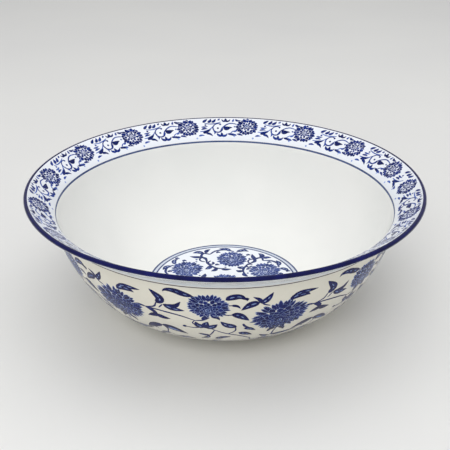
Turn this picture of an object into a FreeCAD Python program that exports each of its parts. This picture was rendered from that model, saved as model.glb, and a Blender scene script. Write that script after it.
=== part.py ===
import FreeCAD, Part
import os
from math import cos, radians, sin

import Sketcher

# Footed porcelain serving bowl with a flared rim, glazed inside and out and
# printed in cobalt.  +Z is the bowl's axis.  The origin is the centre of the
# face that the foot ring rests on.  Lengths are millimetres, angles degrees.
DIMENSIONS = {
    # overall form, measured on the glazed surface
    "rim_radius": 150,
    "total_height": 100,
    "lip_radius": 1.7,
    "wall_thickness": 3.4,
    # flare: a straight cone below the lip, then a tight bend into the wall
    "flare_angle": 35,
    "flare_length": 17.3,
    "bend_radius": 12.5,
    # outer wall: a steep upper arc running into a rounder belly
    "wall_top_angle": 78.7,
    "upper_radius": 115,
    "belly_top_angle": 55,
    "belly_radius": 77.9,
    # inside floor, dished a little, and the bend that joins it to the wall
    "floor_height": 12.1,
    "dish_radius": 1800,
    "well_bend_radius": 40,
    # foot ring and the recessed base inside it
    "foot_outer_radius": 62.6,
    "foot_inner_radius": 57.6,
    "foot_side_angle": 80,
    "foot_edge_radius": 1.2,
    "foot_fillet_radius": 1.5,
    "base_height": 6.4,
    # coats
    "glaze_thickness": 0.3,
    "ink_thickness": 0.12,
    "glaze_stop_height": 1.6,
    # heights and radii where one named zone of the bowl ends
    "well_zone_radius": 67,
    "belly_zone_height": 42,
    "bend_zone_height": 80,
    "lip_zone_height": 97.6,
    # printed zones
    "border_line_height": 83.5,
    "border_line_width": 0.9,
    "border_low_height": 86.2,
    "border_high_height": 99,
    "medallion_radius": 56.4,
    "inner_ring_radius": 57.4,
    "outer_ring_radius": 60.8,
    "ring_width": 0.6,
    "outside_line_height": 81.8,
    "outside_line_width": 0.6,
    "scroll_low_height": 8,
    "scroll_high_height": 80,
    # how far a cutting tool runs past the shape that it cuts
    "tool_margin": 10,
}

# Where the tangent chain of the section should start looking for its turns.
# The sketch's constraints move these guesses to their exact places.
BELLY_FOOT_GUESS = 12.2
FOOT_SIDE_GUESS = 2.2
WELL_START_GUESS = 38
DISH_START_GUESS = 2

HORIZONTAL_AXIS = -1
VERTICAL_AXIS = -2
START = 1
END = 2
CENTRE = 3

document = FreeCAD.newDocument("serving_bowl")


def make_sheet():
    """The driving dimensions, one named cell each."""
    sheet = document.addObject("Spreadsheet::Sheet", "dims")
    for row, (name, value) in enumerate(DIMENSIONS.items(), start=1):
        sheet.set(f"A{row}", name)
        sheet.set(f"B{row}", str(value))
        sheet.setAlias(f"B{row}", name)
    document.recompute()
    return sheet


def angle_of(*names):
    """Expression for the first angle cell minus the others, as an angle."""
    return "(" + " - ".join(f"dims.{name}" for name in names) + ") * 1 deg"


class Section:
    """Half of a section through the axis, drawn as a chain of tangent lines and arcs.

    A pen moves along the outline.  Each stretch starts where the last one ended,
    in the same direction, and a tangent constraint keeps it so.
    """

    def __init__(self, name, pen, heading):
        self.body = document.addObject("PartDesign::Body", name)
        self.sketch = self.body.newObject("Sketcher::SketchObject", name + "_section")
        plane = next(item for item in self.body.Origin.OriginFeatures if item.Role == "XZ_Plane")
        self.sketch.AttachmentSupport = [(plane, "")]
        self.sketch.MapMode = "FlatFace"
        self.pen = pen
        self.heading = heading
        self.last = None

    def fix(self, *reference, to=None):
        """Add a constraint, and bind its size to an expression if it has one."""
        index = self.sketch.addConstraint(Sketcher.Constraint(*reference))
        if to is not None:
            self.sketch.setExpression(f"Constraints[{index}]", to)
        return index

    def join(self, shape, first, last):
        """Add a stretch whose end point `first` is tangent to the last stretch."""
        geometry = self.sketch.addGeometry(shape, False)
        if self.last is not None:
            self.fix("Tangent", self.last[0], self.last[1], geometry, first)
        self.last = (geometry, last)
        return geometry

    def line(self, length):
        """A straight stretch, stored so that it points up or along +X."""
        step = FreeCAD.Vector(length * cos(self.heading), length * sin(self.heading), 0)
        target = self.pen + step
        points_down = step.y < -1e-6 or (abs(step.y) <= 1e-6 and step.x < 0)
        if points_down:
            geometry = self.join(Part.LineSegment(target, self.pen), END, START)
        else:
            geometry = self.join(Part.LineSegment(self.pen, target), START, END)
        self.pen = target
        return geometry

    def arc(self, radius, turn, to):
        """A round stretch that turns left by `turn` degrees, or right if it is negative."""
        side = 1 if turn > 0 else -1
        normal = FreeCAD.Vector(-sin(self.heading), cos(self.heading), 0) * side
        centre = self.pen + normal * radius
        first_angle = self.heading - side * radians(90)
        last_angle = first_angle + radians(turn)
        circle = Part.Circle(centre, FreeCAD.Vector(0, 0, 1), radius)
        if side > 0:
            geometry = self.join(Part.ArcOfCircle(circle, first_angle, last_angle), START, END)
        else:
            geometry = self.join(Part.ArcOfCircle(circle, last_angle, first_angle), END, START)
        self.fix("Radius", geometry, radius, to=to)
        self.heading += radians(turn)
        self.pen = centre + FreeCAD.Vector(cos(last_angle), sin(last_angle), 0) * radius
        return geometry

    def span(self, geometry, value, to):
        """Fix the angle that an arc turns through."""
        self.fix("Angle", geometry, radians(value), to=to)

    def tilt(self, geometry, value, to):
        """Fix a line's angle above +X."""
        self.fix("Angle", geometry, radians(value), to=to)

    def place(self, geometry, point, x=None, y=None):
        """Fix a point's distance from the axis and its height by expressions."""
        spot = self.sketch.getPoint(geometry, point)
        if x is not None:
            self.fix("DistanceX", HORIZONTAL_AXIS, START, geometry, point, spot.x, to=x)
        if y is not None:
            self.fix("DistanceY", HORIZONTAL_AXIS, START, geometry, point, spot.y, to=y)

    def close(self, first, first_point):
        """Close the outline up the axis and level with its first point."""
        start = self.sketch.getPoint(first, first_point)
        corner = FreeCAD.Vector(0, start.y, 0)
        axis = self.sketch.addGeometry(Part.LineSegment(self.pen, corner), False)
        top = self.sketch.addGeometry(Part.LineSegment(corner, start), False)
        self.fix("Coincident", *self.last, axis, START)
        self.fix("Coincident", axis, END, top, START)
        self.fix("Coincident", top, END, first, first_point)
        self.fix("PointOnObject", axis, START, VERTICAL_AXIS)
        self.fix("PointOnObject", axis, END, VERTICAL_AXIS)
        self.fix("Horizontal", top)

    def revolve(self):
        """Turn the outline about the bowl's axis into a solid."""
        turned = self.body.newObject("PartDesign::Revolution", self.body.Name + "_turned")
        turned.Profile = self.sketch
        turned.ReferenceAxis = (self.sketch, ["V_Axis"])
        turned.Angle = 360
        self.body.Tip = turned
        return self.body


def lip_point(growth):
    """Where the hollow's flare line meets the lip's round."""
    angle = radians(DIMENSIONS["flare_angle"])
    radius = DIMENSIONS["lip_radius"] + growth
    centre_x = DIMENSIONS["rim_radius"] - DIMENSIONS["lip_radius"]
    centre_y = DIMENSIONS["total_height"] - DIMENSIONS["lip_radius"]
    return FreeCAD.Vector(centre_x - radius * sin(angle), centre_y + radius * cos(angle), 0)


def draw_flare_and_wall(section, growth, side, grown):
    """The stretch that both surfaces share: flare, bend and upper wall, going down.

    side is +1 on the hollow's surface and -1 on the outside, and grown is the
    growth as an expression.
    """
    size = DIMENSIONS
    inset = size["wall_thickness"] if side > 0 else 0
    inset_name = " + dims.wall_thickness" if side > 0 else ""
    minus_inset = " - dims.wall_thickness" if side > 0 else ""
    flare = section.line(size["flare_length"])
    section.tilt(flare, size["flare_angle"], angle_of("flare_angle"))
    section.fix("Distance", flare, size["flare_length"], to="dims.flare_length")
    bend_turn = size["wall_top_angle"] - size["flare_angle"]
    bend = section.arc(
        size["bend_radius"] + inset + side * growth,
        bend_turn,
        f"dims.bend_radius{inset_name} {'+' if side > 0 else '-'} ({grown})",
    )
    section.span(bend, bend_turn, angle_of("wall_top_angle", "flare_angle"))
    upper_turn = size["wall_top_angle"] - size["belly_top_angle"]
    upper = section.arc(
        size["upper_radius"] - inset - side * growth,
        -upper_turn,
        f"dims.upper_radius{minus_inset} {'-' if side > 0 else '+'} ({grown})",
    )
    section.span(upper, upper_turn, angle_of("wall_top_angle", "belly_top_angle"))
    return flare


def make_outer_form(name, growth, grown):
    """The bowl as if it were solid to the top: outside, foot ring and recessed base."""
    size = DIMENSIONS
    section = Section(name, lip_point(growth), radians(size["flare_angle"]))
    lip = section.arc(size["lip_radius"] + growth, -180, f"dims.lip_radius + ({grown})")
    section.span(lip, 180, "180 deg")
    section.place(lip, CENTRE, x="dims.rim_radius - dims.lip_radius", y="dims.total_height - dims.lip_radius")
    draw_flare_and_wall(section, growth, -1, grown)
    section.arc(
        size["belly_radius"] + growth,
        BELLY_FOOT_GUESS - size["belly_top_angle"],
        f"dims.belly_radius + ({grown})",
    )
    section.arc(
        size["foot_fillet_radius"] - growth,
        size["foot_side_angle"] - BELLY_FOOT_GUESS,
        f"dims.foot_fillet_radius - ({grown})",
    )
    outer_side = section.line(FOOT_SIDE_GUESS)
    section.tilt(outer_side, size["foot_side_angle"], angle_of("foot_side_angle"))
    edge = f"dims.foot_edge_radius + ({grown})"
    outer_edge = section.arc(size["foot_edge_radius"] + growth, -size["foot_side_angle"], edge)
    section.place(outer_edge, CENTRE, x="dims.foot_outer_radius - dims.foot_edge_radius")
    bottom = section.line(size["foot_outer_radius"] - size["foot_inner_radius"] - 2 * size["foot_edge_radius"])
    section.fix("PointOnObject", bottom, START, HORIZONTAL_AXIS)
    section.fix("Horizontal", bottom)
    inner_edge = section.arc(size["foot_edge_radius"] + growth, -size["foot_side_angle"], edge)
    section.place(inner_edge, CENTRE, x="dims.foot_inner_radius + dims.foot_edge_radius")
    inner_side = section.line(size["base_height"] - 2 * size["foot_edge_radius"])
    section.tilt(inner_side, 180 - size["foot_side_angle"], "180 deg - " + angle_of("foot_side_angle"))
    section.arc(
        size["foot_fillet_radius"] - growth,
        size["foot_side_angle"],
        f"dims.foot_fillet_radius - ({grown})",
    )
    base = section.line(section.pen.x)
    section.fix("Horizontal", base)
    section.place(base, START, y=f"dims.base_height - ({grown})")
    section.close(lip, END)
    return section.revolve()


def make_hollow_form(name, growth, grown):
    """The space inside the bowl, up to where the lip's round begins."""
    size = DIMENSIONS
    section = Section(name, lip_point(growth), radians(180 + size["flare_angle"]))
    flare = draw_flare_and_wall(section, growth, +1, grown)
    round_lip = f"(dims.lip_radius + ({grown}))"
    section.place(
        flare,
        END,
        x=f"dims.rim_radius - dims.lip_radius - {round_lip} * sin({angle_of('flare_angle')})",
        y=f"dims.total_height - dims.lip_radius + {round_lip} * cos({angle_of('flare_angle')})",
    )
    section.arc(
        size["belly_radius"] - size["wall_thickness"] - growth,
        WELL_START_GUESS - size["belly_top_angle"],
        f"dims.belly_radius - dims.wall_thickness - ({grown})",
    )
    section.arc(
        size["well_bend_radius"] - growth,
        DISH_START_GUESS - WELL_START_GUESS,
        f"dims.well_bend_radius - ({grown})",
    )
    dish = section.arc(size["dish_radius"] - growth, -DISH_START_GUESS, f"dims.dish_radius - ({grown})")
    section.fix("PointOnObject", dish, CENTRE, VERTICAL_AXIS)
    section.place(dish, START, y=f"dims.floor_height + ({grown})")
    section.close(flare, END)
    return section.revolve()


def cut(name, base, tool):
    """What is left of base outside tool."""
    result = document.addObject("Part::Cut", name)
    result.Base = base
    result.Tool = tool
    return result


def common(name, base, tool):
    """What base and tool share."""
    result = document.addObject("Part::Common", name)
    result.Base = base
    result.Tool = tool
    return result


def disc(name, low, high, radius):
    """A cylinder on the bowl's axis between two heights; all three are expressions."""
    cylinder = document.addObject("Part::Cylinder", name)
    cylinder.setExpression("Radius", radius)
    cylinder.setExpression("Height", f"({high}) - ({low})")
    cylinder.setExpression("Placement.Base.z", low)
    return cylinder


def in_sectors(name, base, low, high):
    """What base has between two heights, laid as equal sectors that join into one ring."""
    joined = document.addObject("Part::MultiFuse", name)
    sectors = []
    for number in range(LIP_SECTORS):
        sector = disc(f"{name}_sector_{number}", low, high, BEYOND_RIM)
        sector.Angle = 360 / LIP_SECTORS
        sector.Placement.Rotation = FreeCAD.Rotation(FreeCAD.Vector(0, 0, 1), 360 / LIP_SECTORS * number)
        sectors.append(common(f"{name}_part_{number}", base, sector))
    joined.Shapes = sectors
    joined.Refine = False
    return joined


BEYOND_RIM = "dims.rim_radius + dims.tool_margin"
ABOVE_RIM = "dims.total_height + dims.tool_margin"
LIP_SECTORS = 8
BELOW_FOOT = "-dims.tool_margin"


def slab(name, low, high):
    """A disc between two heights that is wider than the bowl."""
    return disc(name, low, high, BEYOND_RIM)


def tube(name, low, high, inner, outer):
    """A ring on the bowl's axis between two heights and two radii."""
    return cut(name, disc(name + "_outer", low, high, outer), disc(name + "_inner", low, high, inner))


def ring_band(name, radius):
    """A ring as wide as a printed line, centred on a radius of the floor."""
    return tube(
        name,
        BELOW_FOOT,
        "dims.belly_zone_height",
        f"{radius} - dims.ring_width / 2",
        f"{radius} + dims.ring_width / 2",
    )


def make_nodes():
    """Every named piece, from the nested forms and the zones that divide them."""
    glaze = DIMENSIONS["glaze_thickness"]
    ink = DIMENSIONS["ink_thickness"]
    outer_clay = make_outer_form("outer_clay", -glaze, "-dims.glaze_thickness")
    outer_glazed = make_outer_form("outer_glazed", 0, "0")
    outer_printed = make_outer_form("outer_printed", ink, "dims.ink_thickness")
    hollow_clay = make_hollow_form("hollow_clay", -glaze, "-dims.glaze_thickness")
    hollow_glazed = make_hollow_form("hollow_glazed", 0, "0")
    hollow_printed = make_hollow_form("hollow_printed", ink, "dims.ink_thickness")

    clay = cut("clay", outer_clay, hollow_clay)
    glazed = cut("glazed", outer_glazed, hollow_glazed)
    glaze_outside = cut("glaze_outside", glazed, outer_clay)
    glaze_inside = cut("interior_glaze", hollow_clay, hollow_glazed)
    print_outside = cut("print_outside", outer_printed, outer_glazed)
    print_inside = cut("print_inside", hollow_glazed, hollow_printed)

    # the fired clay, from the foot up; the foot ring ends at the bare clay of the base
    foot_top = "dims.base_height + dims.glaze_thickness"
    well_core = disc("well_core", foot_top, "dims.belly_zone_height", "dims.well_zone_radius")
    above_foot = slab("above_foot", foot_top, "dims.belly_zone_height")
    belly_ring = cut("belly_ring", above_foot, well_core)
    nodes = {
        "foot_ring": common("foot_ring", clay, slab("foot_slab", BELOW_FOOT, foot_top)),
        "well_floor": common("well_floor", clay, well_core),
        "belly_wall": common("belly_wall", clay, belly_ring),
        "upper_wall": common(
            "upper_wall", clay, slab("upper_slab", "dims.belly_zone_height", "dims.bend_zone_height")
        ),
        "flared_rim": common("flared_rim", clay, slab("rim_slab", "dims.bend_zone_height", ABOVE_RIM)),
    }

    # the fired glaze coats; the foot's resting face stays bare
    glaze_zone = slab("glaze_zone", "dims.glaze_stop_height", "dims.lip_zone_height")
    foot_middle = "(dims.foot_inner_radius + dims.foot_outer_radius) / 2"
    base_core = disc("base_core", "dims.glaze_stop_height", "dims.belly_zone_height", foot_middle)
    outside_zone = cut("outside_zone", glaze_zone, base_core)
    nodes["interior_glaze"] = glaze_inside
    nodes["exterior_glaze"] = common("exterior_glaze", glaze_outside, outside_zone)
    nodes["base_glaze"] = common("base_glaze", glaze_outside, base_core)
    nodes["lip_band"] = in_sectors("lip_band", glaze_outside, "dims.lip_zone_height", ABOVE_RIM)

    # the printed cobalt layers
    line_top = "dims.border_line_height + dims.border_line_width"
    outside_line_top = "dims.outside_line_height + dims.outside_line_width"
    medallion_zone = disc("medallion_zone", BELOW_FOOT, "dims.belly_zone_height", "dims.medallion_radius")
    inside_zones = {
        "border_transfer": slab("border_zone", "dims.border_low_height", "dims.border_high_height"),
        "border_line": slab("border_line_zone", "dims.border_line_height", line_top),
        "medallion_transfer": medallion_zone,
        "medallion_inner_ring": ring_band("inner_ring_zone", "dims.inner_ring_radius"),
        "medallion_outer_ring": ring_band("outer_ring_zone", "dims.outer_ring_radius"),
    }
    outside_zones = {
        "exterior_transfer": slab("scroll_zone", "dims.scroll_low_height", "dims.scroll_high_height"),
        "exterior_line": slab("outside_line_zone", "dims.outside_line_height", outside_line_top),
    }
    for name, zone in inside_zones.items():
        nodes[name] = common(name, print_inside, zone)
    for name, zone in outside_zones.items():
        nodes[name] = common(name, print_outside, zone)
    return nodes


def check(nodes):
    """Stop if any object failed, or a node isn't one sound solid."""
    for item in document.Objects:
        if "Invalid" in item.State or "Error" in item.State:
            raise RuntimeError(f"{item.Name} failed: {item.State}")
        if hasattr(item, "FullyConstrained") and not item.FullyConstrained:
            raise RuntimeError(f"{item.Name} isn't fully constrained")
    for name, node in nodes.items():
        shape = node.Shape
        if shape.isNull() or not shape.isValid() or len(shape.Solids) != 1:
            raise RuntimeError(f"{name} isn't one valid solid")
        box = shape.BoundBox
        print(f"{name:22s} {shape.Volume:11.1f} mm3   z {box.ZMin:6.2f} to {box.ZMax:6.2f}   r {box.XMax:6.2f}")


make_sheet()
pieces = make_nodes()
document.recompute()
check(pieces)
os.makedirs("parts", exist_ok=True)
for piece_name, piece in pieces.items():
    piece.Label = piece_name
    piece.Shape.exportStep(f"parts/{piece_name}.step")
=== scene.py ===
"""Blue-and-white porcelain serving bowl: glazes, painted lip and printed decoration.

The bowl's axis is Z and its foot stands on z = 0. Drawing is in millimetres; put() turns a drawing
point into metres in the frame. Azimuth is in degrees: outside 0 is the front (-Y), inside 0 is the
far side (+Y), and both grow towards +X.
"""
import math
import random

import bmesh
import bpy
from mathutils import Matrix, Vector


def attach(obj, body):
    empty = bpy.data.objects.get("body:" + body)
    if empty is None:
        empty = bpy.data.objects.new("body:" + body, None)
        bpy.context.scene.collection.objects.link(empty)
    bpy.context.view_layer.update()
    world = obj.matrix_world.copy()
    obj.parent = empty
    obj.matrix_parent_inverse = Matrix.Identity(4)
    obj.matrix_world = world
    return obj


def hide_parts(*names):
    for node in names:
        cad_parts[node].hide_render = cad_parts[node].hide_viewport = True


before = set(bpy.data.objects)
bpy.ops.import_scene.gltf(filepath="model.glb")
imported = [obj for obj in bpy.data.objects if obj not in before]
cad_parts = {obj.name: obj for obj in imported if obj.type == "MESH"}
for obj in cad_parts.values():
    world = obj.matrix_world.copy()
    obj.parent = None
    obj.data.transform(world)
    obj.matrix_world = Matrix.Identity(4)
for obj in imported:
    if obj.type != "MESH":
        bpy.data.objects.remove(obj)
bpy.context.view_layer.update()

MM = 0.001
SEGMENTS = 384
GLAZE = 0.3
GOLDEN = math.pi * (3.0 - math.sqrt(5.0))
chance = random.Random(11)


# ---------------------------------------------------------------- camera, light and floor

CAMERA_PLACE = (0.0, -0.57885, 0.34686)
CAMERA_DOWN = 26.177
CAMERA_LENS = 66.14

camera_data = bpy.data.cameras.new("camera")
camera_data.lens = CAMERA_LENS
camera_data.sensor_width = 36.0
camera_data.clip_start = 0.01
camera_data.clip_end = 20.0
camera = bpy.data.objects.new("camera", camera_data)
camera.location = CAMERA_PLACE
camera.rotation_euler = (math.radians(90.0 - CAMERA_DOWN), 0.0, 0.0)
bpy.context.collection.objects.link(camera)
bpy.context.scene.camera = camera
bpy.context.scene.view_settings.view_transform = "Standard"


WHITE = (1.0, 1.0, 1.0)
WARM_WHITE = (1.0, 0.995, 0.985)


def soft_light(name, place, aim, size, power, tint):
    """A square soft box at place, facing aim. Gloss doesn't show it, so the glaze has no hard patches."""
    data = bpy.data.lights.new(name, "AREA")
    data.shape = "SQUARE"
    data.size = size
    data.energy = power
    data.color = tint
    light = bpy.data.objects.new(name, data)
    light.location = place
    facing = Vector(aim) - Vector(place)
    light.rotation_euler = facing.to_track_quat("-Z", "Y").to_euler()
    light.visible_glossy = False
    bpy.context.collection.objects.link(light)


soft_light("key", (-0.4, -1.2, 1.0), (0.0, 0.0, 0.05), 0.8, 9.0, WARM_WHITE)
soft_light("top", (0.0, 0.1, 1.5), (0.0, 0.0, 0.0), 1.6, 8.5, WHITE)
soft_light("right", (1.3, 0.2, 0.8), (0.0, 0.0, 0.08), 0.8, 1.6, WHITE)

# the sky's strength grows from the first height of view to the second
SKY = {"From Min": -0.1, "From Max": 0.75, "To Min": 0.32, "To Max": 0.6}

world = bpy.data.worlds.new("studio")
world.use_nodes = True
sky = world.node_tree
direction = sky.nodes.new("ShaderNodeTexCoord")
upward = sky.nodes.new("ShaderNodeSeparateXYZ")
brightness = sky.nodes.new("ShaderNodeMapRange")
for key, value in SKY.items():
    brightness.inputs[key].default_value = value
sky.nodes["Background"].inputs["Color"].default_value = (*WHITE, 1.0)
sky.links.new(direction.outputs["Generated"], upward.inputs[0])
sky.links.new(upward.outputs["Z"], brightness.inputs["Value"])
sky.links.new(brightness.outputs[0], sky.nodes["Background"].inputs["Strength"])
bpy.context.scene.world = world


# ---------------------------------------------------------------- materials

GLASS_IOR = 1.5
NOISE_TOP = 0.7


class Nodes:
    """Builds one node material, a node at a time."""

    def __init__(self, name):
        self.material = bpy.data.materials.new(name)
        self.material.use_nodes = True
        self.tree = self.material.node_tree
        self.shader = self.tree.nodes["Principled BSDF"]

    def feed(self, socket, value):
        """Links the socket when value is another node's output, and sets it otherwise."""
        if isinstance(value, bpy.types.NodeSocket):
            self.tree.links.new(value, socket)
        else:
            socket.default_value = value

    def add(self, kind, **inputs):
        node = self.tree.nodes.new(kind)
        for key, value in inputs.items():
            self.feed(node.inputs[key], value)
        return node

    def place(self):
        return self.add("ShaderNodeTexCoord").outputs["Object"]

    def noise(self, scale, detail, rough=0.5):
        return self.add("ShaderNodeTexNoise", Vector=self.place(), Scale=scale, Detail=detail,
                        Roughness=rough).outputs["Fac"]

    def varied(self, low, high, scale, detail, rough=0.5, start=0.3):
        """Noise that runs from low to high, and stays at low up to start."""
        node = self.add("ShaderNodeMapRange", Value=self.noise(scale, detail, rough))
        for key, value in zip(("From Min", "From Max", "To Min", "To Max"), (start, NOISE_TOP, low, high)):
            node.inputs[key].default_value = value
        return node.outputs[0]

    def math(self, operation, first, second=0.0):
        node = self.tree.nodes.new("ShaderNodeMath")
        node.operation = operation
        self.feed(node.inputs[0], first)
        self.feed(node.inputs[1], second)
        return node.outputs[0]

    def ramp(self, value, stops):
        node = self.tree.nodes.new("ShaderNodeValToRGB")
        elements = node.color_ramp.elements
        elements[0].position, elements[0].color = stops[0][0], colour(stops[0][1])
        elements[1].position, elements[1].color = stops[-1][0], colour(stops[-1][1])
        for where, tint in stops[1:-1]:
            elements.new(where).color = colour(tint)
        self.tree.links.new(value, node.inputs["Fac"])
        return node.outputs["Color"]

    def mix(self, amount, first, second):
        node = self.tree.nodes.new("ShaderNodeMix")
        node.data_type = "RGBA"
        for number, value in ((0, amount), (6, first), (7, second)):
            self.feed(node.inputs[number], value)
        return node.outputs[2]

    def radius(self):
        """Distance from the bowl's axis, in millimetres."""
        apart = self.add("ShaderNodeSeparateXYZ", Vector=self.place())
        squared = self.math("ADD", self.math("POWER", apart.outputs[0], 2.0),
                            self.math("POWER", apart.outputs[1], 2.0))
        return self.math("MULTIPLY", self.math("SQRT", squared), 1.0 / MM)

    def surface(self, base, roughness):
        self.feed(self.shader.inputs["Base Color"], base)
        self.feed(self.shader.inputs["Roughness"], roughness)

    def bump(self, height, strength, distance):
        node = self.add("ShaderNodeBump", Height=height, Strength=strength, Distance=distance)
        self.feed(self.shader.inputs["Normal"], node.outputs["Normal"])

    def gloss(self, coat, coat_roughness, specular=0.5):
        self.shader.inputs["IOR"].default_value = GLASS_IOR
        self.shader.inputs["Specular IOR Level"].default_value = specular
        self.shader.inputs["Coat Weight"].default_value = coat
        self.shader.inputs["Coat Roughness"].default_value = coat_roughness
        self.shader.inputs["Coat IOR"].default_value = GLASS_IOR


def colour(tint):
    """An sRGB colour given 0 to 255, as the linear RGBA that nodes take."""
    linear = []
    for value in tint:
        value = value / 255.0
        linear.append(value / 12.92 if value <= 0.04045 else ((value + 0.055) / 1.055) ** 2.4)
    return (*linear, 1.0)


SPECK_CELLS = 95.0
SPECK_SIZE = 0.022
SPECK_RARITY = 0.93
SPECK_DEPTH = 0.45
SPECK_TINT = (120, 105, 85)


def glaze_material(name, tint, pooled, bands):
    """Fired glaze: even colour with faint pooling, fine orange peel, a few pin-point specks. Bands of radius
    take their own colour: a print's ground, or on the outer flare painted reflection and shade.
    """
    make = Nodes(name)
    cloud = make.varied(0.0, 1.0, 14.0, 4.0, start=0.35)
    base = make.mix(cloud, colour(tint), colour(pooled))
    radius = make.radius()
    for low, high, band_tint in bands:
        inside = make.math("MULTIPLY", make.math("GREATER_THAN", radius, low),
                           make.math("LESS_THAN", radius, high))
        base = make.mix(inside, base, colour(band_tint))
    cells = make.add("ShaderNodeTexVoronoi", Vector=make.place(), Scale=SPECK_CELLS)
    rare = make.add("ShaderNodeSeparateColor", Color=cells.outputs["Color"])
    speck = make.math("MULTIPLY", make.math("LESS_THAN", cells.outputs["Distance"], SPECK_SIZE),
                      make.math("GREATER_THAN", rare.outputs[0], SPECK_RARITY))
    base = make.mix(make.math("MULTIPLY", speck, SPECK_DEPTH), base, colour(SPECK_TINT))
    make.surface(base, make.varied(0.13, 0.24, 30.0, 3.0))
    peel = make.math("ADD", make.math("MULTIPLY", make.noise(60.0, 2.0), 0.7),
                     make.math("MULTIPLY", make.noise(420.0, 2.0), 0.3))
    make.bump(peel, 0.05, 0.0004)
    make.gloss(0.4, 0.05)
    return make.material


def print_material(name, stops, wash=0.16, blot=300.0, coat=0.1, specular=0.12):
    """Cobalt print under glaze: tone picks the colour, and the wash pools and thins."""
    make = Nodes(name)
    tone = make.add("ShaderNodeAttribute")
    tone.attribute_name = "tone"
    grain = make.varied(-wash, wash, blot, 4.0, 0.65)
    broad = make.varied(-0.5 * wash, 0.5 * wash, 45.0, 3.0)
    value = make.math("ADD", make.math("ADD", tone.outputs["Fac"], grain), broad)
    make.surface(make.ramp(value, stops), make.varied(0.12, 0.22, 60.0, 3.0))
    make.bump(make.noise(260.0, 2.0), 0.08, 0.0003)
    make.gloss(coat, 0.04, specular)
    return make.material


def clay_material():
    """Unglazed fired porcelain clay: matt, gritty, toasted where the glaze ends."""
    make = Nodes("biscuit")
    flame = make.varied(0.0, 1.0, 40.0, 5.0, 0.6, start=0.35)
    base = make.mix(flame, colour((226, 216, 198)), colour((208, 190, 163)))
    grit = make.add("ShaderNodeTexVoronoi", Vector=make.place(), Scale=900.0)
    dark = make.math("MULTIPLY", make.math("LESS_THAN", grit.outputs["Distance"], 0.14), 0.3)
    base = make.mix(dark, base, colour((150, 128, 100)))
    make.surface(base, make.varied(0.7, 0.95, 500.0, 3.0))
    make.bump(make.noise(1400.0, 4.0, 0.7), 0.35, 0.0002)
    return make.material


def floor_material():
    """Matt pale studio paper."""
    make = Nodes("paper")
    cloud = make.varied(0.0, 1.0, 3.0, 2.0)
    base = make.mix(cloud, colour((232, 232, 230)), colour((228, 228, 227)))
    make.surface(base, make.varied(0.6, 0.75, 200.0, 2.0))
    return make.material


# distances from the axis between which the ground under a print has its own tint; on the outer flare the
# band's tint is painted reflection and shade, not print
BORDER_SPAN = (128.6, 147.6)
FLARE_REFLECTION_SHADE_SPAN = (131.5, 151.0)
MEDALLION_RADIUS = 57.0
RING_RADIUS = 60.8

INSIDE_WHITE = (240, 240, 237)
INSIDE_POOL = (236, 237, 234)
# the outside glaze is partly a warmer cream than the inside and partly painted shade: greyer and darker for
# the walls that face away from the light
OUTSIDE_CREAM_AND_SHADE = (229, 226, 213)
OUTSIDE_POOL_AND_SHADE = (223, 219, 205)
PRINT_GROUND = (237, 241, 248)
RING_GROUND = (204, 212, 226)
# painted light: the flare's underside is tinted bluish-grey to stand in for reflected sky and the shade of
# the concave flare
FLARE_REFLECTION_AND_SHADE = (214, 221, 228)

white_inside = glaze_material("glaze_white", INSIDE_WHITE, INSIDE_POOL, (
    (*BORDER_SPAN, PRINT_GROUND), (MEDALLION_RADIUS, RING_RADIUS, RING_GROUND),
    (0.0, MEDALLION_RADIUS, PRINT_GROUND)))
cream_and_shade_outside = glaze_material("glaze_cream_and_shade", OUTSIDE_CREAM_AND_SHADE, OUTSIDE_POOL_AND_SHADE, ((*FLARE_REFLECTION_SHADE_SPAN, FLARE_REFLECTION_AND_SHADE),))
scroll_blue = print_material("cobalt_scroll", (
    (0.0, (226, 228, 234)), (0.22, (138, 160, 208)), (0.45, (62, 88, 160)),
    (0.7, (20, 36, 110)), (1.0, (9, 14, 72))))
border_blue = print_material("cobalt_border", (
    (0.0, (240, 244, 255)), (0.22, (176, 194, 236)), (0.45, (82, 112, 190)),
    (0.7, (26, 50, 130)), (1.0, (12, 24, 84))))
medallion_blue = print_material("cobalt_medallion", (
    (0.0, (240, 244, 255)), (0.22, (178, 194, 230)), (0.45, (112, 132, 188)),
    (0.7, (66, 84, 148)), (1.0, (34, 48, 102))))
lip_blue = print_material("cobalt_lip", (
    (0.0, (44, 52, 134)), (0.5, (10, 16, 88)), (1.0, (4, 7, 54))), 0.22, 120.0, 0.2, 0.15)
line_blue = print_material("cobalt_line", (
    (0.0, (170, 182, 208)), (0.5, (88, 104, 146)), (1.0, (52, 66, 108))), 0.2, 200.0)
line_grey = print_material("grey_line", (
    (0.0, (168, 164, 166)), (0.5, (106, 102, 112)), (1.0, (70, 66, 82))), 0.2, 200.0)
biscuit = clay_material()


# ---------------------------------------------------------------- the bowl's section

LONGEST_STEP = 3.0
WIDEST_TURN = 5.0


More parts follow.
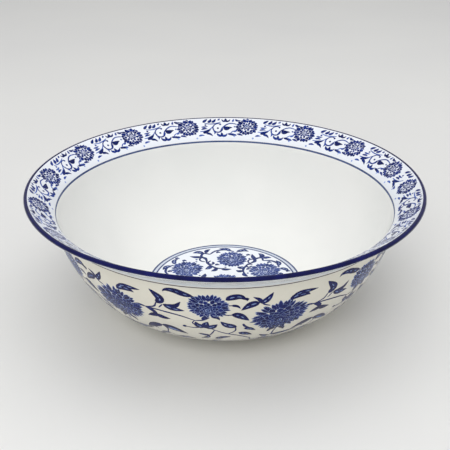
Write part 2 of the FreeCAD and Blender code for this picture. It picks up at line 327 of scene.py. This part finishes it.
class Section:
    """A chain of lines and arcs in (radius, height), found by the length walked along it."""

    def __init__(self, r, z, heading, side):
        self.r, self.z, self.heading = r, z, math.radians(heading)
        self.side = side
        self.length = 0.0
        self.runs = []

    def line(self, length):
        return self._run(length, 0.0)

    def arc(self, radius, turn):
        return self._run(radius * math.radians(abs(turn)), math.copysign(1.0 / radius, turn))

    def _run(self, length, bend):
        self.runs.append((self.length, self.r, self.z, self.heading, bend))
        self.r, self.z, self.heading = self._step(self.runs[-1], length)
        self.length += length
        return self

    @staticmethod
    def _step(run, length):
        start, r, z, heading, bend = run
        if bend == 0.0:
            return r + length * math.cos(heading), z + length * math.sin(heading), heading
        turned = heading + bend * length
        r += (math.sin(turned) - math.sin(heading)) / bend
        z -= (math.cos(turned) - math.cos(heading)) / bend
        return r, z, turned

    def at(self, s, lift=0.0):
        """Radius and height at length s, raised off the surface by lift."""
        run = [run for run in self.runs if run[0] <= s + 1e-9][-1]
        r, z, heading = self._step(run, s - run[0])
        normal = heading + self.side * math.pi / 2.0
        return r + lift * math.cos(normal), z + lift * math.sin(normal)

    def stops(self, start, end):
        """Lengths from start to end, close enough together for a smooth curve."""
        marks = [start]
        ends = [run[0] for run in self.runs[1:]] + [self.length]
        for run, finish in zip(self.runs, ends):
            low, high = max(start, run[0]), min(end, finish)
            if high - low < 1e-6:
                continue
            bent = math.degrees(abs(run[4]) * (high - low))
            count = max(1, math.ceil((high - low) / LONGEST_STEP), math.ceil(bent / WIDEST_TURN))
            marks += [low + (high - low) * k / count for k in range(1, count + 1)]
        return marks

    def length_at_height(self, height, low, high):
        """The length between low and high at which the falling section passes height."""
        for _ in range(50):
            middle = 0.5 * (low + high)
            if self.at(middle)[1] > height:
                low = middle
            else:
                high = middle
        return low


LIP_START = (147.32, 99.69)
LIP_RADIUS = 1.7
FLARE = 35.0
FLARE_LENGTH = 17.3
BEND = 43.7
UPPER = -23.7

outer = Section(*LIP_START, FLARE, 1)
outer.arc(LIP_RADIUS, -180.0).line(FLARE_LENGTH).arc(12.5, BEND).arc(115.0, UPPER).arc(77.9, -42.8)
outer.arc(1.5, 67.8).line(2.15).arc(1.2, -80.0).line(2.6).arc(1.2, -80.0).line(4.24)
outer.arc(1.5, 80.0).line(55.39)

inner = Section(*LIP_START, FLARE + 180.0, -1)
inner.line(FLARE_LENGTH).arc(15.9, BEND).arc(111.6, UPPER).arc(74.5, -16.47)
inner.arc(40.0, -36.27).arc(1800.0, -2.26)

LIP_END = 4.43
FLARE_TOP = LIP_RADIUS * math.pi
GLAZE_STOP_HEIGHT = 1.6
FOOT_STOP = outer.length_at_height(GLAZE_STOP_HEIGHT, 150.0, outer.runs[7][0])
BASE_START = outer.runs[10][0] + 0.62


# ---------------------------------------------------------------- meshes

SHARP_ANGLE = 40.0
ON_AXIS = 0.01


def make_object(name, verts, faces, material):
    mesh = bpy.data.meshes.new(name)
    mesh.from_pydata(verts, [], faces)
    made = bpy.data.objects.new(name, mesh)
    bpy.context.collection.objects.link(made)
    shaped = bmesh.new()
    shaped.from_mesh(mesh)
    bmesh.ops.recalc_face_normals(shaped, faces=shaped.faces)
    shaped.to_mesh(mesh)
    shaped.free()
    mesh.materials.append(material)
    return made


def smooth(made):
    """Smooth shading, with the section's corners kept sharp."""
    made.data.polygons.foreach_set("use_smooth", [True] * len(made.data.polygons))
    made.data.set_sharp_from_angle(angle=math.radians(SHARP_ANGLE))


def lathe(name, outline, material, tone=None):
    """A closed solid turned from a closed (radius, height) outline; points on the axis become poles."""
    verts, faces, rings = [], [], []
    for r, z in outline:
        if r < ON_AXIS:
            rings.append([len(verts)])
            verts.append((0.0, 0.0, z * MM))
            continue
        rings.append(list(range(len(verts), len(verts) + SEGMENTS)))
        for k in range(SEGMENTS):
            turn = 2.0 * math.pi * k / SEGMENTS
            verts.append((r * MM * math.sin(turn), -r * MM * math.cos(turn), z * MM))
    for this, following in zip(rings, rings[1:] + rings[:1]):
        if len(this) == 1 and len(following) == 1:
            continue
        for k in range(SEGMENTS):
            n = (k + 1) % SEGMENTS
            if len(this) == 1:
                faces.append((this[0], following[k], following[n]))
            elif len(following) == 1:
                faces.append((this[k], this[n], following[0]))
            else:
                faces.append((this[k], this[n], following[n], following[k]))
    made = make_object(name, verts, faces, material)
    smooth(made)
    if tone is not None:
        made.data.attributes.new("tone", "FLOAT", "POINT").data.foreach_set("value", [tone] * len(verts))
    return made


def coat(section, start, end, under, over=0.0):
    """The outline of a coat over a stretch of a section, from under the surface to over it."""
    marks = section.stops(start, end)
    return [section.at(s, over) for s in marks] + [section.at(s, under) for s in reversed(marks)]


def stands_for(made, node):
    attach(made, "root")
    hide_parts(node)


stands_for(lathe("glaze_inside", coat(inner, 0.0, inner.length, -GLAZE), white_inside),
           "interior_glaze")
stands_for(lathe("glaze_outside", coat(outer, LIP_END, FOOT_STOP, -GLAZE), cream_and_shade_outside),
           "exterior_glaze")
stands_for(lathe("glaze_under", coat(outer, BASE_START, outer.length, -GLAZE), cream_and_shade_outside),
           "base_glaze")
stands_for(lathe("lip_cobalt", coat(outer, 0.0, LIP_END, -GLAZE, 0.015), lip_blue, 0.7),
           "lip_band")


LINE_FOOT = -0.02
LINE_TOP = 0.03


def line_band(name, section, middle, width, material, node, tone):
    outline = coat(section, middle - 0.5 * width, middle + 0.5 * width, LINE_FOOT, LINE_TOP)
    stands_for(lathe(name, outline, material, tone), node)


BORDER_LINE = inner.length_at_height(83.95, 10.0, 60.0)
SCROLL_LINE = outer.length_at_height(82.1, 10.0, 60.0)
OUTER_RING = inner.length - RING_RADIUS
INNER_RING = inner.length - 57.4
line_band("border_hairline", inner, BORDER_LINE, 1.5, line_blue, "border_line", 0.75)
line_band("scroll_hairline", outer, SCROLL_LINE, 0.95, line_grey, "exterior_line", 0.85)
line_band("medallion_ring_wide", inner, OUTER_RING, 1.5, line_blue,
          "medallion_outer_ring", 0.8)
line_band("medallion_ring_close", inner, INNER_RING, 1.3, line_blue,
          "medallion_inner_ring", 0.8)


# ---------------------------------------------------------------- drawing

VINE_STEP = 1.5
LEAF_STEP = 1.3


def curve(points, step):
    """Points along a smooth curve through the given ones, about step apart."""
    if len(points) == 2:
        (x0, y0), (x1, y1) = points
        points = [points[0], ((x0 + x1) / 2, (y0 + y1) / 2), points[1]]
    ends = [tuple(2 * a - b for a, b in zip(points[0], points[1]))]
    ends += points
    ends.append(tuple(2 * a - b for a, b in zip(points[-1], points[-2])))
    out = [points[0]]
    for k in range(1, len(ends) - 2):
        p0, p1, p2, p3 = ends[k - 1:k + 3]
        count = max(2, math.ceil(math.dist(p1, p2) / step))
        for j in range(1, count + 1):
            t = j / count
            out.append(tuple(
                0.5 * (2 * b + (c - a) * t + (2 * a - 5 * b + 4 * c - d) * t * t
                       + (3 * b - a - 3 * c + d) * t ** 3)
                for a, b, c, d in zip(p0, p1, p2, p3)))
    return out


PRINT_FOOT = -0.03
VINE_LIFT = 0.03
CURL_LIFT = 0.035
SPOT_TONE = 0.3
WIDE_STROKE = 1.3
FRINGE_WIDTH = 7.0
FRINGE_DEPTH = 0.5
INNER_DEPTH = 0.34


class Print:
    """Thin closed shapes of cobalt, gathered into one mesh. put(x, y, lift) places a drawing point."""

    def __init__(self, put):
        self.put = put
        self.verts, self.faces, self.tones = [], [], []
        self.x = 0.0
        self.scale = 1.0

    def ribbon(self, spine, half, tone, lift):
        """A strip along spine, half(t) wide on each side at t from 0 to 1."""
        columns = 2 if max(half(k / 8.0) for k in range(9)) < WIDE_STROKE else 4
        last = len(spine) - 1
        base = len(self.verts)
        for k, (x, y) in enumerate(spine):
            before, after = spine[max(k - 1, 0)], spine[min(k + 1, last)]
            dx, dy = after[0] - before[0], after[1] - before[1]
            size = math.hypot(dx, dy) or 1.0
            wide = max(half(k / last), 0.05)
            for height in (lift, PRINT_FOOT):
                for c in range(columns):
                    off = wide * (2.0 * c / (columns - 1) - 1.0)
                    self.verts.append(self.put(self.x + (x - dy / size * off) * self.scale,
                                               y + dx / size * off, height))
                    self.tones.append(tone)
        ring = 2 * columns
        loop = list(range(columns)) + list(range(2 * columns - 1, columns - 1, -1))
        for k in range(last):
            a, b = base + k * ring, base + (k + 1) * ring
            for j in range(ring):
                n = (j + 1) % ring
                self.faces.append((a + loop[j], a + loop[n], b + loop[n], b + loop[j]))
        for a in (base, base + last * ring):
            for c in range(columns - 1):
                self.faces.append((a + c, a + c + 1, a + columns + c + 1, a + columns + c))

    def vine(self, points, width=0.9, tone=0.85):
        """A brush line, a little fuller in its middle and thin at its ends."""
        def outline(t):
            return width * (0.4 + 0.25 * math.sin(math.pi * t))

        self.ribbon(curve(points, VINE_STEP), outline, tone, VINE_LIFT)

    def leaf(self, points, width, tone=0.95, spots=2, lift=0.05):
        """A pointed leaf along points, with pale reserved spots down its middle."""
        def outline(t):
            return 0.54 * width * math.sin(math.pi * t ** 0.72) ** 0.8 if 0 < t < 1 else 0.0

        spine = curve(points, LEAF_STEP)
        self.ribbon(spine, outline, tone, lift)
        for k in range(spots):
            low = 0.2 + 0.6 * k / spots
            high = low + 0.6 / spots - 0.08
            first, final = round(low * (len(spine) - 1)), round(high * (len(spine) - 1))
            if final - first < 2:
                continue
            self.ribbon(spine[first:final + 1],
                        lambda t, part=low: 0.11 * width * (1.2 - part) * math.sin(math.pi * t) ** 0.7
                        if 0 < t < 1 else 0.0, SPOT_TONE, lift + 0.03)

    def dot(self, x, y, size, tone=0.9, lift=0.05):
        spine = [(x, y + size * (k / 4.0 - 1.0)) for k in range(9)]
        self.ribbon(spine, lambda t: size * math.sqrt(max(0.0, 1.0 - (2.0 * t - 1.0) ** 2)), tone, lift)

    def curl(self, x, y, size, start, sweep, width, tone, inner_size):
        """A spiral tendril round (x, y), from size down to inner_size of it."""
        count = max(6, round(abs(sweep) * size / 60.0))
        spine = []
        for k in range(count + 1):
            angle = math.radians(start + sweep * k / count)
            reach = size * (1.0 - (1.0 - inner_size) * k / count)
            spine.append((x + reach * math.cos(angle), y - reach * math.sin(angle)))
        self.ribbon(spine, lambda t: width * (0.3 + 0.25 * t), tone, CURL_LIFT)

    def petal(self, foot, tip, width, tone, lift, margin, margin_tone):
        """A pointed petal: a pale outline with the dark body inside it."""
        length = math.dist(foot, tip)
        along = ((tip[0] - foot[0]) / length, (tip[1] - foot[1]) / length)
        count = 4 if length < 6.0 else 6

        def shape(t):
            return 0.5 * width * math.sin(math.pi * (0.08 + 0.92 * t) ** 1.25) ** 0.75 if t < 1.0 else 0.0

        spine = [(foot[0] + along[0] * length * k / count, foot[1] + along[1] * length * k / count)
                 for k in range(count + 1)]
        self.ribbon(spine, shape, margin_tone, lift)
        shorter = length - 1.6 * margin
        body = [(foot[0] + along[0] * shorter * k / count, foot[1] + along[1] * shorter * k / count)
                for k in range(count + 1)]
        self.ribbon(body, lambda t: max(0.0, shape(t) - margin), tone, lift + 0.012)

    def flower(self, x, y, wide, high, low, counts, tone, eye=1.3, margin=0.22, margin_tone=0.25):
        """A full lotus: a fringe of petals, then petals spiralling in to a point set low in an oval."""
        fringe, inward = counts
        size = 0.5 * (wide + high)
        petals = []
        for k in range(fringe):
            width = FRINGE_WIDTH * size / fringe
            petals.append((1.0, FRINGE_DEPTH, width, 2.0 * math.pi * k / fringe, 0.012 * (k % 2)))
        for k in range(inward):
            part = 0.84 - 0.66 * (k / inward) ** 0.9
            width = (0.11 + 0.11 * part) * size * 1.35
            petals.append((part, INNER_DEPTH, width, k * GOLDEN, 0.02 + 0.15 * k / inward))
        for part, depth, width, angle, rise in petals:
            angle += chance.uniform(-0.07, 0.07)
            outward = (math.sin(angle), -math.cos(angle))
            reach = part * chance.uniform(0.92, 1.05)
            foot, tip = [
                (x + wide * out * outward[0], y + (high * out * outward[1] + low * (1.0 - part)))
                for out in (max(part - depth, 0.04), reach)]
            self.petal(foot, tip, width * chance.uniform(0.92, 1.1), tone + chance.uniform(-0.16, 0.1),
                       0.04 + rise, margin * (0.45 + 0.55 * part), margin_tone)
        eye_y = y + low * 0.95
        self.dot(x, eye_y, eye * 1.4, margin_tone, 0.22)
        self.dot(x, eye_y, eye, tone, 0.235)
        self.dot(x, eye_y, eye * 0.45, margin_tone, 0.25)

    def finish(self, name, material, node, slot):
        made = make_object(name, self.verts, self.faces, material)
        made.data.attributes.new("tone", "FLOAT", "POINT").data.foreach_set("value", self.tones)
        stands_for(made, node)


# ---------------------------------------------------------------- outside scroll

SCROLL_DEGREE = 2.13
SCROLL_REPEAT = 54.0

# petals of the fringe, and petals inside it
SMALL_PETALS = (34, 44)
LARGE_PETALS = (42, 66)
BORDER_PETALS = (20, 22)
MEDALLION_PETALS = (30, 40)


def put_outside(x, y, lift):
    azimuth = math.radians(x / SCROLL_DEGREE)
    r, z = outer.at(FLARE_TOP + y, lift)
    return (r * MM * math.sin(azimuth), -r * MM * math.cos(azimuth), z * MM)


def degrees_out(points):
    return [(SCROLL_DEGREE * azimuth, down) for azimuth, down in points]


def small_flower_group(scroll):
    """The smaller lotus with the leaves, drop and trident round it."""
    at = degrees_out
    scroll.vine(at([(-28, 49.4), (-24, 49.8), (-20, 50.6), (-14, 53), (-9.5, 57)]), 1.1)
    scroll.vine(at([(-9.5, 57), (-7, 56), (-4.8, 52.5)]), 1.0)
    scroll.vine(at([(-24.5, 49.4), (-22, 47), (-21, 42.5)]), 1.0)
    scroll.leaf(at([(-21, 43), (-19.4, 38), (-22.4, 30.5)]), 5.6)
    scroll.leaf(at([(-18.8, 43), (-15.8, 46), (-12.2, 47)]), 4.6)
    scroll.leaf(at([(-18, 43.4), (-15, 43), (-13, 38)]), 3.4, spots=0)
    scroll.vine(at([(-19, 43.5), (-20.5, 47.5)]), 0.8)
    scroll.vine(at([(-25, 49.6), (-22.8, 53), (-22, 57)]), 2.8)
    scroll.leaf(at([(-21.4, 56.6), (-23.4, 57.6), (-25.6, 59.8)]), 4.0, spots=0)
    scroll.leaf(at([(-22.6, 56.2), (-20, 58.4), (-17.6, 59)]), 4.2, spots=0)
    scroll.leaf(at([(-9.2, 31.8), (-11.5, 30.8), (-14.8, 28.4), (-17.2, 28.6), (-18.2, 30.6)]), 4.2, spots=3)
    scroll.vine(at([(-10.4, 31.2), (-8.4, 32.8)]), 0.8)
    scroll.leaf(at([(0.2, 34.2), (1.8, 32), (4.4, 31.4), (6.4, 34.8)]), 4.6, spots=2)
    scroll.leaf(at([(5, 33), (6.6, 33.6), (6.2, 35.6)]), 1.8, spots=0)
    scroll.vine(at([(0.4, 39.4), (2.4, 39.4)]), 0.7)
    scroll.leaf(at([(1.8, 39.2), (3.6, 40), (4.6, 42.6)]), 2.2, spots=0)
    scroll.vine(at([(-1, 48.6), (1, 49.4), (3, 48.8)]), 0.8)
    scroll.leaf(at([(2, 48.4), (4.4, 50.2), (7.6, 56.4)]), 5.4, spots=2)
    scroll.leaf(at([(-5, 52), (-6.6, 53.2), (-7.2, 55.6)]), 2.6, spots=0)
    scroll.leaf(at([(-4.2, 51.8), (-2.4, 52.2), (-1.6, 55)]), 2.6, spots=0)
    scroll.leaf(at([(-6.8, 66), (-8.8, 62.8), (-9.4, 58.4)]), 5.2)
    scroll.leaf(at([(-6.6, 66), (-6.2, 61.5), (-5.4, 57.6)]), 5.0)
    scroll.leaf(at([(-6.4, 66.4), (-4.2, 64.4), (-2.4, 60.6)]), 4.8)
    scroll.vine(at([(-9.5, 57), (-10.4, 60.5), (-8.4, 65), (-5, 66.6), (-3.5, 69)]), 0.9)
    scroll.vine(at([(-7.4, 65.6), (-10.2, 67), (-13, 66.4)]), 0.9)
    scroll.dot(-13.4 * SCROLL_DEGREE, 66.0, 1.5)
    scroll.flower(-4.95 * SCROLL_DEGREE, 41.2, 14.2, 12.0, 3.5, SMALL_PETALS, 0.9)
    scroll.vine(at([(-3.5, 69), (-4.4, 74), (-5.6, 79)]), 0.9)
    scroll.leaf(at([(-5.4, 78.6), (-7.4, 77.6), (-9.4, 75.8)]), 3.2)
    scroll.leaf(at([(-5.6, 79), (-6.4, 83), (-9, 86.6)]), 3.4)
    scroll.vine(at([(-3.5, 69), (0, 74), (5, 79), (9, 86), (10, 94)]), 1.0)
    scroll.leaf(at([(-3.6, 87), (-1, 82.6), (2.2, 80.8)]), 4.6, spots=2)
    scroll.leaf(at([(-22, 70.2), (-25.8, 74), (-29.2, 80.4)]), 6.0, spots=0)
    scroll.leaf(at([(-22, 70.2), (-18.2, 73), (-13.4, 79.6)]), 6.4, spots=0)
    scroll.leaf(at([(-20, 72.4), (-18.2, 74), (-16, 76.6)]), 1.8, 0.3, spots=0, lift=0.08)
    scroll.vine(at([(-22, 70.4), (-20.6, 76), (-21.4, 84), (-18, 92)]), 0.9)
    scroll.leaf(at([(-21, 84), (-24, 87), (-25, 92)]), 4.2)
    scroll.leaf(at([(-18.4, 91), (-14.6, 88.8), (-11.4, 91)]), 4.0)
    scroll.vine(at([(-18, 92), (-12, 97), (-4, 98), (3, 95), (10, 94)]), 0.9)
    scroll.leaf(at([(-6, 97.6), (-3.6, 93.4), (-1, 91.6)]), 3.4)


def large_flower_group(scroll):
    """The larger lotus with its forked leaf, stem and lower leaves."""
    at = degrees_out
    scroll.vine(at([(13.4, 41.6), (11.8, 40.2), (10.6, 38)]), 0.9)
    scroll.leaf(at([(10.8, 38.8), (10, 35), (8, 32.2)]), 2.6, spots=0)
    scroll.leaf(at([(10.6, 38.8), (12.4, 35.2), (13.9, 29.6)]), 4.2)
    scroll.leaf(at([(10.2, 37.8), (7.6, 39.4), (4.8, 44.4)]), 5.4, spots=2)
    scroll.leaf(at([(3.9, 64.4), (0.6, 61.6), (-1.4, 56.8)]), 5.4, spots=2)
    scroll.vine(at([(3.4, 63.6), (3.4, 70), (1, 75.4)]), 0.9)
    scroll.vine(at([(5.8, 60.2), (6.4, 63.4), (8, 66.4)]), 1.6)
    scroll.leaf(at([(6.2, 66.6), (8.2, 67.6), (10.4, 70.8)]), 3.6)
    scroll.leaf(at([(4.6, 73.4), (6.8, 75.2), (9.6, 78.2)]), 4.8)
    scroll.leaf(at([(19.4, 39.4), (21.4, 36.4), (24.8, 36.6), (26, 38)]), 4.6)
    scroll.leaf(at([(20, 37.4), (22.4, 34.4), (28.4, 33.8)]), 3.8)
    scroll.vine(at([(24.5, 50.2), (26.5, 49), (28.4, 49.6)]), 1.6)
    scroll.leaf(at([(17.5, 70.6), (15.6, 72.4), (14.8, 76.4)]), 3.2, spots=0)
    scroll.leaf(at([(18.4, 70.6), (20.2, 72.4), (21, 76.4)]), 3.2, spots=0)
    scroll.vine(at([(17.9, 70), (17.2, 77), (17, 84), (13, 91), (10, 94)]), 1.1)
    scroll.flower(17.65 * SCROLL_DEGREE, 55.4, 20.6, 16.8, 4.7, LARGE_PETALS, 0.9)
    scroll.leaf(at([(17, 84), (21.4, 84.4), (27, 81)]), 4.8, spots=2)
    scroll.leaf(at([(16.4, 86), (14, 83.4), (12.4, 80.4)]), 3.6)
    scroll.leaf(at([(13, 91), (17.4, 92.6), (21, 90.4)]), 4.0)
    scroll.vine(at([(10, 94), (16, 98), (24, 98), (32, 94), (36, 92)]), 0.9)
    scroll.leaf(at([(24, 97.6), (26.4, 93.8), (29.4, 92)]), 3.6)
    scroll.leaf(at([(28.8, 71), (27.4, 75), (29.4, 79.4)]), 3.0, spots=0)


scroll = Print(put_outside)
for repeat in range(-2, 4):
    scroll.x = repeat * SCROLL_REPEAT * SCROLL_DEGREE
    small_flower_group(scroll)
    large_flower_group(scroll)
# the ring is closed by part of a repeat, at the back
scroll.x = 4 * SCROLL_REPEAT * SCROLL_DEGREE
small_flower_group(scroll)
scroll.finish("scroll_print", scroll_blue, "exterior_transfer", "cobalt_print")


# ---------------------------------------------------------------- border on the flare

BORDER_DEGREE = 2.43


def put_border(x, y, lift):
    azimuth = math.radians(x / BORDER_DEGREE)
    r, z = inner.at(max(y, 0.3), lift)
    return (r * MM * math.sin(azimuth), r * MM * math.cos(azimuth), z * MM)


def degrees_in(points):
    return [(BORDER_DEGREE * azimuth, down) for azimuth, down in points]


def border_motif(border, whole=True):
    """One lotus of the border and the vine work to the right of it."""
    at = degrees_in
    border.flower(0.0, 9.9, 10.8, 9.6, -0.6, BORDER_PETALS, 0.9, eye=1.1, margin=0.2, margin_tone=0.05)
    border.leaf(at([(5.4, 16.4), (6.8, 15.2), (8.6, 12.8)]), 2.8, 0.9, spots=0)
    border.leaf(at([(6.6, 16.8), (8.2, 17.6), (9.2, 20)]), 2.2, 0.85, spots=0)
    border.leaf(at([(5.8, 4.8), (6.6, 3), (7.6, 1)]), 2.4, 0.8, spots=0)
    border.leaf(at([(7.6, 5.2), (8.6, 3), (8.8, 0.8)]), 2.6, 0.8, spots=0)
    border.leaf(at([(9, 5), (10, 3.4), (10.6, 1)]), 2.4, 0.75, spots=0)
    border.dot(6.7 * BORDER_DEGREE, 7.6, 0.9, 0.7)
    border.dot(2.9 * BORDER_DEGREE, 21.6, 0.9, 0.35)
    border.dot(-4.6 * BORDER_DEGREE, 20.4, 0.8, 0.3)
    border.leaf(at([(4.9, 12.4), (6.2, 11.6), (7.4, 11.8)]), 1.7, 0.7, spots=0)
    border.leaf(at([(5, 9.6), (6.4, 9.8), (7.6, 9)]), 1.5, 0.6, spots=0)
    border.leaf(at([(3.6, 19.4), (4.8, 18.6), (6, 18.9)]), 1.7, 0.6, spots=0)
    border.leaf(at([(-3.6, 19.2), (-4.8, 18.4), (-5.6, 17)]), 1.8, 0.6, spots=0)
    border.vine(at([(4.4, 14.6), (6, 14.4), (8.2, 12.6), (9.4, 9.6)]), 0.9, 0.5)
    if not whole:
        return
    border.vine(at([(6.4, 5.6), (8.4, 6.6), (10.4, 6.2), (12.4, 4.6)]), 0.8, 0.5)
    border.leaf(at([(9.6, 14.6), (10.2, 16.2), (9.8, 18.2)]), 1.6, 0.6, spots=0)
    border.leaf(at([(11.2, 2.6), (11.8, 1.8), (12, 0.6)]), 1.5, 0.7, spots=0)
    border.leaf(at([(16.8, 4.6), (16.9, 3), (17.2, 1)]), 1.7, 0.6, spots=0)
    border.dot(9.6 * BORDER_DEGREE, 12.4, 0.7, 0.6)
    border.dot(17.6 * BORDER_DEGREE, 9.8, 0.8, 0.6)
    border.curl(11.4 * BORDER_DEGREE, 11.6, 5.4, 60.0, 300.0, 1.4, 0.7, 0.72)
    border.dot(11.3 * BORDER_DEGREE, 11.5, 0.95, 0.8)
    border.dot(12.2 * BORDER_DEGREE, 7.3, 0.85, 0.7)
    border.leaf(at([(13.2, 10), (14.6, 11.2), (16.8, 10.6)]), 3.0, 0.95, spots=0)
    border.leaf(at([(13.4, 12), (14.8, 12.6), (16.2, 11)]), 2.4, 0.95, spots=0)
    border.vine(at([(12, 16), (13.2, 10.4), (15.8, 6.2), (19, 7.4)]), 0.9, 0.6)
    border.leaf(at([(14.2, 4.6), (14.2, 2.6), (14.1, 0.5)]), 2.6, 0.95, spots=0)
    border.leaf(at([(14.2, 4.4), (15.4, 3.4), (15.9, 1.4)]), 1.6, 0.9, spots=0)
    border.leaf(at([(14.1, 4.4), (13.1, 3.2), (12.8, 1.4)]), 1.6, 0.9, spots=0)
    border.leaf(at([(17.6, 1.6), (18.6, 3.2), (19.8, 2.6)]), 2.0, 0.85, spots=0)
    border.leaf(at([(12.8, 20.4), (11.4, 19), (10.8, 16.8)]), 2.2, 0.7, spots=0)
    border.leaf(at([(12.8, 20.4), (12.8, 18.4), (12.6, 16)]), 2.6, 0.8, spots=0)
    border.leaf(at([(12.8, 20.4), (14.4, 19.2), (14.9, 17)]), 2.2, 0.7, spots=0)
    border.leaf(at([(15, 17.8), (16.4, 18.2), (17.8, 20)]), 2.0, 0.9, spots=0)
    border.leaf(at([(18.6, 17.8), (20, 18.2), (21, 19.4)]), 1.8, 0.8, spots=0)
    border.vine(at([(16, 17.6), (17, 15), (18.4, 14)]), 0.8, 0.5)
    border.leaf(at([(17.4, 15.6), (18.4, 14), (18.6, 11.6)]), 1.8, 0.6, spots=0)


border = Print(put_border)
for k in range(9):
    border.x = (-103.0 + 22.25 * k) * BORDER_DEGREE
    border_motif(border, k < 8)
# the motif at the seam is a little narrower than the rest
border.x = 89.2 * BORDER_DEGREE
border.scale = 0.94
border_motif(border)
for k in range(7):
    border.x = (109.6 + 21.06 * k) * BORDER_DEGREE
    border_motif(border)
border.finish("border_print", border_blue, "border_transfer", "cobalt_print")


# ---------------------------------------------------------------- medallion on the floor

def put_medallion(x, y, lift):
    """x is to the right and y towards the front, as seen from the front."""
    r, z = inner.at(inner.length - math.hypot(x, y), lift)
    return (x * MM, -y * MM, z * MM)


def polar(angle, reach):
    """Angle is counter-clockwise from the right, seen from above."""
    return reach * math.cos(math.radians(angle)), -reach * math.sin(math.radians(angle))


def medallion_sector(medal, turn, gap):
    """One of the six outer lotuses, and the vine work that fills the gap to the next."""
    stretch = gap / 60.0

    def at(points):
        return [polar(turn + stretch * angle, reach) for angle, reach in points]

    x, y = polar(turn, 36.5)
    medal.flower(x, y, 13.4, 13.2, 2.1, MEDALLION_PETALS, 0.86, margin=0.18, margin_tone=0.16)
    medal.vine(at([(0, 49.6), (8, 52), (16, 50.5), (22, 46)]), 1.6, 0.95)
    medal.leaf(at([(3, 50), (7, 53.4), (13, 54)]), 3.8, 0.95)
    medal.leaf(at([(-2, 49.8), (-7, 53.4), (-12, 53)]), 3.8, 0.95)
    medal.vine(at([(22, 46), (27, 49), (31, 45), (29, 39), (32, 33)]), 1.8, 0.95)
    medal.leaf(at([(27, 48.5), (30, 52.6), (35, 53.6)]), 4.3, 0.95)
    medal.leaf(at([(25, 49), (23, 52.6), (19.6, 54.4)]), 3.5, 0.95, spots=0)
    medal.leaf(at([(31, 44), (36, 46), (40, 50)]), 3.5, 0.95, spots=0)
    cx, cy = polar(turn + 31 * stretch, 40)
    medal.curl(cx, cy, 4.4, turn + 200.0, -330.0, 2.1, 1.0, 0.3)
    cx, cy = polar(turn + 26 * stretch, 31.5)
    medal.curl(cx, cy, 3.4, turn + 20.0, 330.0, 2.1, 1.0, 0.3)
    for angle, reach in ((-14, 47), (14, 47.5), (44, 30), (50, 54), (20, 27)):
        cx, cy = polar(turn + angle * stretch, reach)
        medal.leaf([(cx - 1.8, cy + 0.8), (cx, cy - 1), (cx + 2, cy + 0.4)], 2.6, 0.95, spots=0)
    for k in range(3):
        cx, cy = polar(turn + (35.5 + 2.6 * k) * stretch, 45.0 - 2.8 * k)
        medal.dot(cx, cy, 1.05 - 0.12 * k, 0.8)
    medal.vine(at([(32, 33), (30, 27), (24, 22), (12, 20)]), 1.6, 0.95)
    medal.leaf(at([(30, 27.5), (36, 25), (44, 25)]), 4.1, 0.95)
    medal.leaf(at([(24, 22), (30, 19.4), (40, 19.6)]), 3.5, 0.95, spots=0)
    medal.leaf(at([(16, 20.4), (6, 18.6), (-6, 20)]), 3.5, 0.95, spots=0)
    cx, cy = polar(turn + 8, 22.4)
    medal.dot(cx, cy, 0.9, 0.8)


medal = Print(put_medallion)
MEDALLION_TURNS = (25.6, 81.0, 149.7, 206.0, 264.0, 325.0)
for turn, following in zip(MEDALLION_TURNS, (*MEDALLION_TURNS[1:], MEDALLION_TURNS[0] + 360.0)):
    medallion_sector(medal, turn, following - turn)
medal.flower(0.0, 1.0, 13.0, 12.6, 1.4, MEDALLION_PETALS, 0.86, margin=0.18, margin_tone=0.16)
medal.finish("medallion_print", medallion_blue, "medallion_transfer", "cobalt_print")


# ---------------------------------------------------------------- clay, floor and closing

for node in ("foot_ring", "well_floor", "belly_wall", "upper_wall", "flared_rim"):
    clay = bpy.data.objects[node]
    clay.data.materials.clear()
    clay.data.materials.append(biscuit)

FLOOR = 6.0
floor_mesh = bpy.data.meshes.new("floor")
corners = [(-FLOOR, -FLOOR, 0.0), (FLOOR, -FLOOR, 0.0), (FLOOR, FLOOR, 0.0), (-FLOOR, FLOOR, 0.0)]
floor_mesh.from_pydata(corners, [], [(0, 1, 2, 3)])
floor = bpy.data.objects.new("floor", floor_mesh)
floor.data.materials.append(floor_material())
bpy.context.collection.objects.link(floor)
